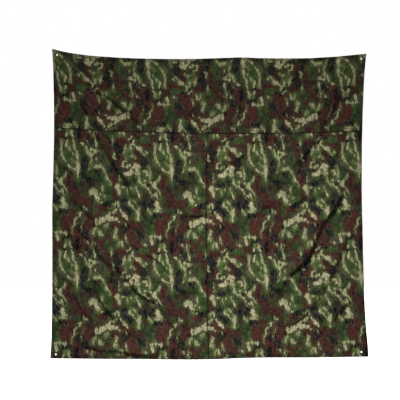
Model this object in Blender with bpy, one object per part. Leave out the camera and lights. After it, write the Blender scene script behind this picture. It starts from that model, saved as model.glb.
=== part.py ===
"""A square bivouac tarp: three sewn camouflage panels with turned hems and an eyelet in each corner.

The sheet hangs upright from its two upper eyelets, its face towards -Y and its width along X.
The origin is the middle of the line between the two upper eyelets. Lengths are in metres.
A place on the cloth is given by how far it lies from the left edge and from the top edge.
"""

from math import cos, pi, sin

import bmesh
import bpy
from mathutils import Vector

# Finished size of the cloth, measured flat
CLOTH_WIDTH = 2.130
CLOTH_HEIGHT = 2.090
CROSS_SEAM = 0.534  # from the top edge down to the seam between the upper and the lower panels
CENTRE_SEAM = 1.0575  # from the left edge to the seam between the two lower panels
SEAM_GAP = 0.0005  # between the cut edges of two panels

# Corners of the hanging sheet, as (x, z)
TOP_LEFT = (-1.0588, 0.0549)
TOP_RIGHT = (1.0594, 0.0219)
BOTTOM_LEFT = (-1.071, -2.033)
BOTTOM_RIGHT = (1.074, -2.021)

# How far each edge hangs or pulls in from the straight line between its corners, along its length
TOP_SAG = [
    (0.0, 0.0), (0.026, 0.0135), (0.057, 0.0255), (0.12, 0.042), (0.20, 0.052), (0.32, 0.057),
    (0.44, 0.054), (0.56, 0.043), (0.60, 0.039), (0.66, 0.041), (0.75, 0.040), (0.82, 0.036),
    (0.90, 0.024), (0.95, 0.012), (1.0, 0.0),
]
BOTTOM_SAG = [
    (0.0, 0.0), (0.25, 0.008), (0.42, 0.012), (0.50, 0.012), (0.64, 0.003), (0.82, 0.003), (1.0, 0.0),
]
LEFT_PULL = [
    (0.0, 0.0), (0.06, 0.008), (0.15, 0.0135), (0.25, 0.016), (0.40, 0.012), (0.52, 0.007),
    (0.75, 0.010), (0.93, 0.007), (1.0, 0.0),
]
RIGHT_PULL = [
    (0.0, 0.0), (0.07, 0.014), (0.15, 0.023), (0.25, 0.0305), (0.43, 0.036), (0.64, 0.0315),
    (0.80, 0.025), (0.90, 0.015), (0.96, 0.004), (1.0, 0.0),
]
CROSS_SEAM_SAG = 0.027  # at the middle of the cross seam
LOWER_SAG = 0.034  # at the middle of the lower panels
LOWER_SAG_AT = 0.60  # share of the height where the lower panels hang lowest

# Depth of the hanging sheet
BELLY = 0.045  # the middle of the sheet swells forwards
SIDE_CURL = 0.015  # the middle of each side edge curls back
FLAT_CORNER = 0.075  # the reinforced corners stay flat
CORNER_EASE = 0.20  # distance over which a flat corner runs out into the sheet

# Cloth, tapes and sewing
CLOTH = 0.0006
LAYER_GAP = 0.0003
HEM = 0.020
HEM_STITCH_AT = 0.016
PATCH = 0.070
PATCH_STITCH_AT = 0.064
TAPE_WIDTH = 0.022
TAPE = 0.0003
THREAD_WIDTH = 0.0010
THREAD = 0.0003
TWIN_STITCH_AT = 0.004  # each row of a seam's twin stitching, from the seam
GRID = 0.110  # spacing of the lines that shape the sheet

# Eyelets
EYELET_HOLE_R = 0.0040
BARREL_R = 0.0047
FLANGE_R = 0.0080
FLANGE = 0.0009
FLANGE_EDGE = 0.0004
LIP_R = 0.0062
LIP = 0.0005
WASHER_HOLE_R = 0.0051
WASHER_R = 0.0080
WASHER = 0.0006
CLOTH_HOLE_R = 0.0051
ROUND_SIDES = 24
EYELET_INSETS = {  # from the side edge and from the top or bottom edge
    "top_left": (0.032, 0.034),
    "top_right": (0.032, 0.032),
    "bottom_left": (0.036, 0.028),
    "bottom_right": (0.046, 0.034),
}

# Depths of the layers behind (+) and in front of (-) the middle of the panel cloth
PANEL_FRONT = -CLOTH / 2
PANEL_BACK = CLOTH / 2
TURNED_FRONT = PANEL_BACK + LAYER_GAP
TURNED_BACK = TURNED_FRONT + CLOTH
PATCH_FRONT = TURNED_BACK + LAYER_GAP
PATCH_BACK = PATCH_FRONT + CLOTH
TAPE_FRONT = PANEL_BACK + LAYER_GAP
TAPE_BACK = TAPE_FRONT + TAPE
THREAD_BACK = PANEL_FRONT - LAYER_GAP
THREAD_FRONT = THREAD_BACK - THREAD

# Colours, as (red, green, blue, 1), roughness and metallic value
FINISHES = {
    "camouflage_cloth": ((0.085, 0.085, 0.050, 1), 0.80, 0.0),
    "camouflage_patch": ((0.075, 0.078, 0.046, 1), 0.80, 0.0),
    "seam_tape": ((0.050, 0.056, 0.038, 1), 0.55, 0.0),
    "olive_thread": ((0.060, 0.064, 0.036, 1), 0.70, 0.0),
    "nickel": ((0.66, 0.64, 0.58, 1), 0.30, 1.0),
}


def clear_scene():
    for item in list(bpy.data.objects):
        bpy.data.objects.remove(item, do_unlink=True)


def make_materials():
    made = {}
    for name, (colour, roughness, metallic) in FINISHES.items():
        material = bpy.data.materials.new(name)
        material.use_nodes = True
        shader = material.node_tree.nodes["Principled BSDF"]
        shader.inputs["Base Color"].default_value = colour
        shader.inputs["Roughness"].default_value = roughness
        shader.inputs["Metallic"].default_value = metallic
        material.diffuse_color = colour
        made[name] = material
    return made


def add_object(name, mesh, material):
    item = bpy.data.objects.new(name, mesh)
    bpy.context.scene.collection.objects.link(item)
    mesh.materials.append(material)
    return item


# ---- the surface of the hanging sheet ----

def through(points, at):
    """The value at a place on the smooth curve through (place, value) points."""
    last = len(points) - 1
    index = 0
    while index < last - 1 and at > points[index + 1][0]:
        index += 1

    def slope(k):
        before = points[max(k - 1, 0)]
        after = points[min(k + 1, last)]
        return (after[1] - before[1]) / (after[0] - before[0])

    (x0, y0), (x1, y1) = points[index], points[index + 1]
    span = x1 - x0
    f = (at - x0) / span
    from_start = (1 + 2 * f) * (1 - f) ** 2 * y0 + f * (1 - f) ** 2 * span * slope(index)
    from_end = f * f * (3 - 2 * f) * y1 + f * f * (f - 1) * span * slope(index + 1)
    return from_start + from_end


def ease(value, low, high):
    """0 below low, 1 above high, and a smooth step between."""
    f = min(max((value - low) / (high - low), 0.0), 1.0)
    return f * f * (3 - 2 * f)


def sag_at(across, down):
    """How far the cloth hangs below the straight grid between its corners."""
    seam = CROSS_SEAM / CLOTH_HEIGHT
    top_share = 1 - ease(down, 0, seam)
    bottom_share = ease(down, LOWER_SAG_AT, 1)
    middle = CROSS_SEAM_SAG + (LOWER_SAG - CROSS_SEAM_SAG) * ease(down, seam, LOWER_SAG_AT)
    middle *= 4 * across * (1 - across)
    hung = top_share * through(TOP_SAG, across) + bottom_share * through(BOTTOM_SAG, across)
    return hung + (1 - top_share - bottom_share) * middle


def depth_at(from_left, from_top):
    """How far the middle of the panel cloth lies behind the plane of the corners."""
    across = from_left / CLOTH_WIDTH
    down = from_top / CLOTH_HEIGHT
    to_side = min(from_left, CLOTH_WIDTH - from_left)
    to_end = min(from_top, CLOTH_HEIGHT - from_top)
    loose = ease(max(to_side, to_end), FLAT_CORNER, FLAT_CORNER + CORNER_EASE)
    swell = sin(pi * across) ** 2 * sin(pi * down) ** 2
    rim = (1 - 4 * across * (1 - across)) ** 3 * sin(pi * down) ** 2
    return loose * (SIDE_CURL * rim - BELLY * swell)


def sheet_point(from_left, from_top, behind=0.0):
    """The place in space of a point of the cloth, a distance behind the middle of the panel cloth."""
    across = from_left / CLOTH_WIDTH
    down = from_top / CLOTH_HEIGHT
    top = Vector(TOP_LEFT).lerp(Vector(TOP_RIGHT), across)
    bottom = Vector(BOTTOM_LEFT).lerp(Vector(BOTTOM_RIGHT), across)
    flat = top.lerp(bottom, down)
    x = flat.x + (1 - across) * through(LEFT_PULL, down) - across * through(RIGHT_PULL, down)
    z = flat.y - sag_at(across, down)
    return Vector((x, depth_at(from_left, from_top) + behind, z))


# ---- layers of cloth, tape and thread ----

def evenly_between(marks):
    """The marks, with evenly spaced lines between them that are about GRID apart."""
    lines = [marks[0]]
    for low, high in zip(marks, marks[1:]):
        steps = max(1, round((high - low) / GRID))
        lines += [low + (high - low) * k / steps for k in range(1, steps + 1)]
    return lines


# The lines that shape the sheet. Every layer bends along them, so the layers stay parallel
SHAPE_COLUMNS = evenly_between([0, PATCH, CENTRE_SEAM, CLOTH_WIDTH - PATCH, CLOTH_WIDTH])
SHAPE_ROWS = evenly_between([0, PATCH, CROSS_SEAM, CLOTH_HEIGHT - PATCH, CLOTH_HEIGHT])


def lines_of(edges, shape_lines):
    """A piece's own edges, with the sheet's shape lines that lie between the outer two."""
    low, high = min(edges), max(edges)
    inside = [line for line in shape_lines if low < line < high]
    return sorted(set(round(line, 7) for line in inside + edges))


def layered_solid(name, layers, depths, material):
    """One closed solid. Layer k covers the rectangles layers[k], from depths[k] back to depths[k + 1].

    A rectangle is (left, right, top, bottom).
    """
    rectangles = [rectangle for layer in layers for rectangle in layer]
    columns = lines_of([edge for r in rectangles for edge in r[:2]], SHAPE_COLUMNS)
    rows = lines_of([edge for r in rectangles for edge in r[2:]], SHAPE_ROWS)
    cells = set()
    for k, layer in enumerate(layers):
        for left, right, top, bottom in layer:
            covered_columns = [i for i in range(len(columns) - 1) if left < middle_of(columns, i) < right]
            covered_rows = [j for j in range(len(rows) - 1) if top < middle_of(rows, j) < bottom]
            cells |= {(i, j, k) for i in covered_columns for j in covered_rows}
    shape = bmesh.new()
    corners = {}

    def corner(i, j, k):
        if (i, j, k) not in corners:
            corners[i, j, k] = shape.verts.new(sheet_point(columns[i], rows[j], depths[k]))
        return corners[i, j, k]

    def wall(a, b, c, d):
        shape.faces.new((corner(*a), corner(*b), corner(*c)))
        shape.faces.new((corner(*a), corner(*c), corner(*d)))

    for i, j, k in sorted(cells):
        if (i, j, k - 1) not in cells:
            wall((i, j, k), (i, j + 1, k), (i + 1, j + 1, k), (i + 1, j, k))
        if (i, j, k + 1) not in cells:
            wall((i, j, k + 1), (i + 1, j, k + 1), (i + 1, j + 1, k + 1), (i, j + 1, k + 1))
        if (i - 1, j, k) not in cells:
            wall((i, j, k), (i, j, k + 1), (i, j + 1, k + 1), (i, j + 1, k))
        if (i + 1, j, k) not in cells:
            wall((i + 1, j, k), (i + 1, j + 1, k), (i + 1, j + 1, k + 1), (i + 1, j, k + 1))
        if (i, j - 1, k) not in cells:
            wall((i, j, k), (i + 1, j, k), (i + 1, j, k + 1), (i, j, k + 1))
        if (i, j + 1, k) not in cells:
            wall((i, j + 1, k), (i, j + 1, k + 1), (i + 1, j + 1, k + 1), (i + 1, j + 1, k))
    bmesh.ops.recalc_face_normals(shape, faces=shape.faces)
    mesh = bpy.data.meshes.new(name)
    shape.to_mesh(mesh)
    shape.free()
    return add_object(name, mesh, material)


def middle_of(lines, index):
    return (lines[index] + lines[index + 1]) / 2


def hemmed_panel(name, left, right, top, bottom, material):
    """A panel whose outer edges are turned back once: face cloth, a fold along the edge, the turned strip."""
    outer_strips = [
        (left == 0, lambda width: (0, width, top, bottom)),
        (right == CLOTH_WIDTH, lambda width: (CLOTH_WIDTH - width, CLOTH_WIDTH, top, bottom)),
        (top == 0, lambda width: (left, right, 0, width)),
        (bottom == CLOTH_HEIGHT, lambda width: (left, right, CLOTH_HEIGHT - width, CLOTH_HEIGHT)),
    ]
    strips = [strip for is_outer, strip in outer_strips if is_outer]
    face = [(left, right, top, bottom)]
    fold = [strip(CLOTH) for strip in strips]
    turned = [strip(HEM) for strip in strips]
    depths = [PANEL_FRONT, PANEL_BACK, TURNED_FRONT, TURNED_BACK]
    return layered_solid(name, [face, fold, turned], depths, material)


def make_panels(material):
    above = CROSS_SEAM - SEAM_GAP / 2
    below = CROSS_SEAM + SEAM_GAP / 2
    left_of = CENTRE_SEAM - SEAM_GAP / 2
    right_of = CENTRE_SEAM + SEAM_GAP / 2
    spans = {
        "upper_panel": (0, CLOTH_WIDTH, 0, above),
        "lower_left_panel": (0, left_of, below, CLOTH_HEIGHT),
        "lower_right_panel": (right_of, CLOTH_WIDTH, below, CLOTH_HEIGHT),
    }
    return {name: hemmed_panel(name, *span, material) for name, span in spans.items()}


def corner_span(corner, low, high):
    """The stretches from low to high, counted from a corner: (left, right, top, bottom)."""
    left, right = (low, high) if corner.endswith("left") else (CLOTH_WIDTH - high, CLOTH_WIDTH - low)
    top, bottom = (low, high) if corner.startswith("top") else (CLOTH_HEIGHT - high, CLOTH_HEIGHT - low)
    return left, right, top, bottom


def make_corner_patch(corner, material):
    square = corner_span(corner, CLOTH, PATCH)
    return layered_solid(f"corner_patch_{corner}", [[square]], [PATCH_FRONT, PATCH_BACK], material)


def make_corner_stitching(corner, material):
    """An L of thread along the two inner sides of a corner patch."""
    inner = PATCH_STITCH_AT - THREAD_WIDTH / 2
    outer = PATCH_STITCH_AT + THREAD_WIDTH / 2
    whole_left, whole_right, whole_top, whole_bottom = corner_span(corner, HEM + SEAM_GAP, outer)
    row_left, row_right, row_top, row_bottom = corner_span(corner, inner, outer)
    strokes = [(row_left, row_right, whole_top, whole_bottom), (whole_left, whole_right, row_top, row_bottom)]
    layered_solid(f"corner_stitching_{corner}", [strokes], [THREAD_FRONT, THREAD_BACK], material)


def make_seam_tapes(material):
    half = TAPE_WIDTH / 2
    inside = HEM + SEAM_GAP
    below_cross_tape = CROSS_SEAM + half + SEAM_GAP
    spans = {
        "cross_seam_tape": (inside, CLOTH_WIDTH - inside, CROSS_SEAM - half, CROSS_SEAM + half),
        "centre_seam_tape": (CENTRE_SEAM - half, CENTRE_SEAM + half, below_cross_tape, CLOTH_HEIGHT - inside),
    }
    for name, span in spans.items():
        layered_solid(name, [[span]], [TAPE_FRONT, TAPE_BACK], material)


def make_stitching(material):
    """One row of thread along each hem, and a row on either side of each seam. No two rows cross."""
    half = THREAD_WIDTH / 2
    inside = HEM + SEAM_GAP
    above, below = CROSS_SEAM - TWIN_STITCH_AT, CROSS_SEAM + TWIN_STITCH_AT
    left_of, right_of = CENTRE_SEAM - TWIN_STITCH_AT, CENTRE_SEAM + TWIN_STITCH_AT
    low_hem, right_hem = CLOTH_HEIGHT - HEM_STITCH_AT, CLOTH_WIDTH - HEM_STITCH_AT
    level_rows = {
        "hem_stitching_top": (HEM_STITCH_AT, HEM_STITCH_AT - half, right_hem + half),
        "hem_stitching_bottom": (low_hem, HEM_STITCH_AT - half, right_hem + half),
        "cross_seam_stitching_upper": (above, inside, CLOTH_WIDTH - inside),
        "cross_seam_stitching_lower": (below, inside, CLOTH_WIDTH - inside),
    }
    upright_rows = {
        "hem_stitching_left": (HEM_STITCH_AT, HEM, CLOTH_HEIGHT - HEM),
        "hem_stitching_right": (right_hem, HEM, CLOTH_HEIGHT - HEM),
        "centre_seam_stitching_left": (left_of, below + TWIN_STITCH_AT, CLOTH_HEIGHT - inside),
        "centre_seam_stitching_right": (right_of, below + TWIN_STITCH_AT, CLOTH_HEIGHT - inside),
    }
    spans = {name: (start, end, at - half, at + half) for name, (at, start, end) in level_rows.items()}
    spans.update({name: (at - half, at + half, start, end) for name, (at, start, end) in upright_rows.items()})
    for name, span in spans.items():
        layered_solid(name, [[span]], [THREAD_FRONT, THREAD_BACK], material)


# ---- eyelets ----

def turned_piece(name, profile, centre, material):
    """A closed ring turned about the Y axis from a closed profile of (radius, depth) points."""
    shape = bmesh.new()
    rings = []
    for k in range(ROUND_SIDES):
        angle = 2 * pi * k / ROUND_SIDES
        ring = [shape.verts.new((r * cos(angle), y, r * sin(angle))) for r, y in profile]
        rings.append(ring)
    count = len(profile)
    for k in range(ROUND_SIDES):
        ring, following = rings[k], rings[(k + 1) % ROUND_SIDES]
        for p in range(count):
            q = (p + 1) % count
            shape.faces.new((ring[p], ring[q], following[q], following[p]))
    bmesh.ops.recalc_face_normals(shape, faces=shape.faces)
    mesh = bpy.data.meshes.new(name)
    shape.to_mesh(mesh)
    shape.free()
    mesh.shade_smooth()
    mesh.set_sharp_from_angle(angle=0.6)
    item = add_object(name, mesh, material)
    item.location = centre
    return item


def eyelet_centre(corner):
    """The middle of an eyelet's hole, on the middle of the panel cloth."""
    from_side, from_end = EYELET_INSETS[corner]
    from_left = from_side if corner.endswith("left") else CLOTH_WIDTH - from_side
    from_top = from_end if corner.startswith("top") else CLOTH_HEIGHT - from_end
    return sheet_point(from_left, from_top)


def make_eyelet(corner, material):
    """A flanged barrel pushed through from the front, its end rolled over the washer behind the cloth."""
    flange_back = THREAD_BACK
    flange_front = flange_back - FLANGE
    shoulder = flange_back - FLANGE_EDGE
    washer_front = PATCH_BACK + LAYER_GAP
    washer_back = washer_front + WASHER
    lip_front = washer_back + LAYER_GAP
    lip_back = lip_front + LIP
    flange = [
        (EYELET_HOLE_R, flange_front + FLANGE_EDGE),
        (EYELET_HOLE_R + FLANGE_EDGE, flange_front),
        (FLANGE_R - 2 * FLANGE_EDGE, flange_front),
        (FLANGE_R, shoulder),
        (FLANGE_R, flange_back),
        (BARREL_R, flange_back),
    ]
    lip = [(BARREL_R, lip_front), (LIP_R, lip_front), (LIP_R, lip_back - LIP / 2), (LIP_R - LIP, lip_back)]
    end = [(EYELET_HOLE_R + LIP, lip_back), (EYELET_HOLE_R, lip_back - LIP)]
    turned_piece(f"eyelet_{corner}", flange + lip + end, eyelet_centre(corner), material)
    washer = [
        (WASHER_HOLE_R, washer_front),
        (WASHER_R, washer_front),
        (WASHER_R, washer_back - WASHER / 2),
        (WASHER_R - WASHER / 2, washer_back),
        (WASHER_HOLE_R, washer_back),
    ]
    turned_piece(f"eyelet_washer_{corner}", washer, eyelet_centre(corner), material)


def make_punch(corner):
    """The round punch that opens the cloth for an eyelet's barrel."""
    shape = bmesh.new()
    bmesh.ops.create_cone(
        shape,
        cap_ends=True,
        segments=ROUND_SIDES,
        radius1=CLOTH_HOLE_R,
        radius2=CLOTH_HOLE_R,
        depth=4 * FLANGE_R,
    )
    mesh = bpy.data.meshes.new(f"punch_{corner}")
    shape.to_mesh(mesh)
    shape.free()
    punch = bpy.data.objects.new(f"punch_{corner}", mesh)
    bpy.context.scene.collection.objects.link(punch)
    punch.location = eyelet_centre(corner)
    punch.rotation_euler = (pi / 2, 0, 0)
    punch.hide_render = True
    punch.display_type = "WIRE"
    return punch


def punch_hole(cloth, punch):
    cut = cloth.modifiers.new(punch.name, "BOOLEAN")
    cut.operation = "DIFFERENCE"
    cut.solver = "EXACT"
    cut.object = punch


def main():
    clear_scene()
    materials = make_materials()
    panels = make_panels(materials["camouflage_cloth"])
    panel_of_corner = {
        "top_left": "upper_panel",
        "top_right": "upper_panel",
        "bottom_left": "lower_left_panel",
        "bottom_right": "lower_right_panel",
    }
    for corner, panel in panel_of_corner.items():
        punch = make_punch(corner)
        patch = make_corner_patch(corner, materials["camouflage_patch"])
        punch_hole(panels[panel], punch)
        punch_hole(patch, punch)
        make_corner_stitching(corner, materials["olive_thread"])
        make_eyelet(corner, materials["nickel"])
    make_seam_tapes(materials["seam_tape"])
    make_stitching(materials["olive_thread"])


main()
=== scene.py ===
"""The looks of the bivouac tarp: folded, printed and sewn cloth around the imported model.

The tarp hangs upright from its two upper eyelets, its face towards -Y. Lengths are in metres.
A place on the cloth is given by how far it lies from the left edge and from the top edge.
"""

from math import cos, pi, radians, sin

import bmesh
import bpy
import numpy as np
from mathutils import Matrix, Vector


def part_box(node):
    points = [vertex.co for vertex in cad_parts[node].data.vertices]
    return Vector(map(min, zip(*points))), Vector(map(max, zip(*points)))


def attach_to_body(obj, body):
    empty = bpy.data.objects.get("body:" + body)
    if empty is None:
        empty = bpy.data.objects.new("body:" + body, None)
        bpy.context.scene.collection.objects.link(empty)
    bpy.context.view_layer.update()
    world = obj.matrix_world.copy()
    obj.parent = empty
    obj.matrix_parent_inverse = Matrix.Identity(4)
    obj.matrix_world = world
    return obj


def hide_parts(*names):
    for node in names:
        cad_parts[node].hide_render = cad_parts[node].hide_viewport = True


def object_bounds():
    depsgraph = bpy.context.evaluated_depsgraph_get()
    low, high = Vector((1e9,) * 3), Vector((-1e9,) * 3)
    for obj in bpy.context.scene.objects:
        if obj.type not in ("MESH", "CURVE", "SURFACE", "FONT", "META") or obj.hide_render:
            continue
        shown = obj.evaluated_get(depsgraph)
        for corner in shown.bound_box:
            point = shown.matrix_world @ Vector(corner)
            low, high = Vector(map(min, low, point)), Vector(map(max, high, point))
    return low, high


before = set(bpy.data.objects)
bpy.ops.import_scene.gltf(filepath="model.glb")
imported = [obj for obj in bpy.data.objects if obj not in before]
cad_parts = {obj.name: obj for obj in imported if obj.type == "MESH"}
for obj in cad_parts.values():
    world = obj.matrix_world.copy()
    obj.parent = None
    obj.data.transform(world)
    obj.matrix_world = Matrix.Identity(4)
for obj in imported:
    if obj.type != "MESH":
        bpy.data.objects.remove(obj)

CAD_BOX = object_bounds()

# Finished size of the cloth, measured flat, as the model has it
CLOTH_WIDTH = 2.130
CLOTH_HEIGHT = 2.090
CROSS_SEAM = 0.534
CENTRE_SEAM = 1.0575
SEAM_GAP = 0.0001

# Corners of the hanging sheet, as (x, z), and how far each edge hangs or pulls in between them
TOP_LEFT = (-1.0588, 0.0549)
TOP_RIGHT = (1.0594, 0.0219)
BOTTOM_LEFT = (-1.071, -2.033)
BOTTOM_RIGHT = (1.074, -2.021)
TOP_SAG = [
    (0.0, 0.0), (0.026, 0.0135), (0.057, 0.0255), (0.12, 0.042), (0.20, 0.052), (0.32, 0.057),
    (0.44, 0.054), (0.56, 0.043), (0.60, 0.039), (0.66, 0.041), (0.75, 0.040), (0.82, 0.036),
    (0.90, 0.024), (0.95, 0.012), (1.0, 0.0),
]
BOTTOM_SAG = [
    (0.0, 0.0), (0.25, 0.008), (0.42, 0.012), (0.50, 0.012), (0.64, 0.003), (0.82, 0.003), (1.0, 0.0),
]
LEFT_PULL = [
    (0.0, 0.0), (0.06, 0.008), (0.15, 0.0135), (0.25, 0.016), (0.40, 0.012), (0.52, 0.007),
    (0.75, 0.010), (0.93, 0.007), (1.0, 0.0),
]
RIGHT_PULL = [
    (0.0, 0.0), (0.07, 0.014), (0.15, 0.023), (0.25, 0.0305), (0.43, 0.036), (0.64, 0.0315),
    (0.80, 0.025), (0.90, 0.015), (0.96, 0.004), (1.0, 0.0),
]
CROSS_SEAM_SAG = 0.027
LOWER_SAG = 0.034
LOWER_SAG_AT = 0.60
BELLY = 0.012  # less than the model's, so that the folds stand out within its depth
SIDE_CURL = 0.006
FLAT_CORNER = 0.075
CORNER_EASE = 0.20

# Layers of cloth. Behind the face cloth lie the turned hems and then the corner patches
CLOTH = 0.00024
PITCH = 0.0005  # from the middle of one layer to the middle of the next
HEM = 0.020
HEM_STITCH_AT = 0.016
PATCH = 0.070
PATCH_STITCH_AT = 0.064
PATCH_INSET = 0.0012
PATCH_LINES = 36
TAPE_WIDTH = 0.022
TAPE = 0.0002
TAPE_AWAY = 0.00012
TAPE_GAP = 1e-5
TWIN_STITCH_AT = 0.004
LAP = 0.0011  # how far a seam's lap stands proud, and drops back on its other side
LAP_DROP = 0.0026
LAP_EASE = 0.012
FINE_STEP = 0.007  # spacing of the lines that make the folded cloth
RELIEF_STEP = 0.006  # spacing of the grid that holds its folds

# The lines of the panels' meshes beside a hem, in its fold and beside a seam
FACE, TURNED = 1.0, -1.0  # which side of a hem's fold a line lies on
FOLD_LINES = [-2 / 3, -1 / 3, 0, 1 / 3, 2 / 3]  # turns between those two
HEM_RUNS = [0.001, 0.002, 0.004, 0.008, 0.012, 0.016, HEM]
SEAM_RUNS = [0.0, 0.0012, 0.0026, 0.0045, 0.008, TAPE_WIDTH / 2]
SAME_PLACE = 1e-5  # lines nearer than this are one line

# Sewing thread
THREAD_R = 0.00027
STITCH = 0.0034
STITCH_PITCH = 0.0040
STITCH_SIDES = 5
STITCH_ROUND = [*range(STITCH_SIDES), 0]
STITCH_RINGS = [(-0.36, 0.75, 0.10), (0.0, 1.0, 0.75), (0.36, 0.75, 0.10)]  # along, thickness, height
STITCH_DIP = 1.3

# Eyelets
EYELET_HOLE_R = 0.0040
BARREL_R = 0.0047
FLANGE_R = 0.0080
LIP_R = 0.0062
CLOTH_HOLE_R = 0.0051
WASHER_HOLE_R = 0.0051
WASHER_R = 0.0080
FLANGE = 0.0009  # how far the flange reaches back
FLANGE_DROP = 0.0006  # how far its face curves back on the way to its rim
EYELET_EDGE = 0.0011  # rounding of the hole's front edge
LIP = 0.0004  # rounding of the rolled end
BREAK = 0.0001  # width of a broken edge
TURNED_SIDES = 64
CORNERS = ["top_left", "top_right", "bottom_left", "bottom_right"]

# Folds of the hanging cloth: (height, width of the steep side, places along it). They hang like slack
# lines between the corners
FOLDS = [
    (
        0.0170, 0.034,
        [(0.14, 0.14), (0.20, 0.33), (0.27, 0.49), (0.37, 0.66), (0.50, 0.85), (0.59, 1.03), (0.78, 1.19)],
    ),
    (0.0104, 0.032, [(0.06, 0.50), (0.12, 0.90), (0.22, 1.07), (0.40, 1.21)]),
    (0.0180, 0.040, [(0.05, 1.05), (0.155, 1.29), (0.27, 1.45), (0.34, 1.65), (0.44, 1.79), (0.60, 1.88)]),
    (
        0.0145, 0.032,
        [(0.12, 1.08), (0.32, 1.345), (0.49, 1.48), (0.59, 1.60), (0.73, 1.70), (0.83, 1.84), (1.02, 1.88)],
    ),
    (0.0080, 0.022, [(0.85, 1.70), (0.95, 1.73), (1.05, 1.77)]),
    (0.0096, 0.021, [(0.64, 1.32), (0.775, 1.45), (0.83, 1.60)]),
    (0.0104, 0.022, [(0.78, 1.05), (1.0, 1.085), (1.11, 1.04), (1.2, 0.90), (1.28, 0.70), (1.34, 0.56)]),
    (0.0104, 0.026, [(1.82, 1.02), (1.92, 0.74), (2.01, 0.54)]),
    (
        0.034, 0.040,
        [
            (1.48, 1.67), (1.56, 1.575), (1.61, 1.50), (1.73, 1.395),
            (1.80, 1.245), (1.86, 1.13), (1.95, 1.02), (2.04, 0.78),
        ],
    ),
    (0.0136, 0.030, [(1.52, 1.89), (1.67, 1.82), (1.81, 1.67), (1.89, 1.53), (2.04, 1.22)]),
    (0.0140, 0.034, [(1.54, 0.84), (1.72, 0.68), (1.82, 0.54), (1.93, 0.33), (2.05, 0.12)]),
    (0.0080, 0.022, [(1.08, 0.27), (1.15, 0.16), (1.22, 0.06)]),
    (0.0120, 0.028, [(0.12, 0.13), (0.32, 0.25), (0.46, 0.355), (0.62, 0.49)]),
    (0.0072, 0.021, [(0.33, 0.53), (0.43, 0.61), (0.54, 0.66)]),
    (0.0104, 0.029, [(1.34, 1.10), (1.44, 1.04), (1.54, 0.97)]),
    (0.0104, 0.029, [(0.12, 1.95), (0.40, 2.025), (0.80, 2.055)]),
    (0.0096, 0.024, [(1.10, 0.79), (1.21, 0.74), (1.34, 0.65)]),
    (0.0096, 0.026, [(1.80, 1.92), (1.93, 1.80), (2.06, 1.66)]),
    (0.0080, 0.022, [(1.56, 0.99), (1.70, 0.86), (1.80, 0.74)]),
    (0.0080, 0.022, [(0.16, 0.62), (0.23, 0.83), (0.29, 0.97)]),
    (0.0072, 0.021, [(0.14, 1.62), (0.22, 1.74), (0.31, 1.86)]),
    (0.0072, 0.021, [(1.62, 1.04), (1.74, 0.96), (1.84, 0.80)]),
]
FOLD_DRIFT = 0.010  # how far the folds stray from their lines
FOLD_ABOVE = 0.055  # how far a fold's long upper slope reaches
FOLD_RETURN = 0.050  # how far the cloth below takes to come forward again
POCKET = 0.7  # depth of the hollow under a fold, as a share of its height

# Smaller shapes in the cloth, most by their heights
WRINKLE = 0.0044  # the ridges that fan out from a corner
WRINKLE_START, WRINKLE_END = (0.07, 0.22), (0.30, 0.62)  # from where to where they rise, and sink
CRUMPLE, FINE_CRUMPLE, HILL = 0.0030, 0.0010, 0.0024
CREASE, CREASE_WIDTH = 0.0011, 0.007
CROSS_PUCKER, CENTRE_PUCKER, HEM_PUCKER = 0.0012, 0.0010, 0.0009
GATHER = 0.018  # from one gather to the next, and how far in from the rim the hem's are deepest
GROOVE, GROOVE_WIDTH = 0.0012, 0.003

# The print repeats across and down the cloth. Its strokes are lists of places in centimetres within one
# repeat, under half their width
PRINT_ACROSS = 0.6475
PRINT_DOWN = 0.750
UPPER_PRINT_TURN = (0.17, 0.285)  # the upper panel's print is turned half round about half this place
PATCH_PRINT_SHIFT = (0.21, 0.13)

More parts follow.
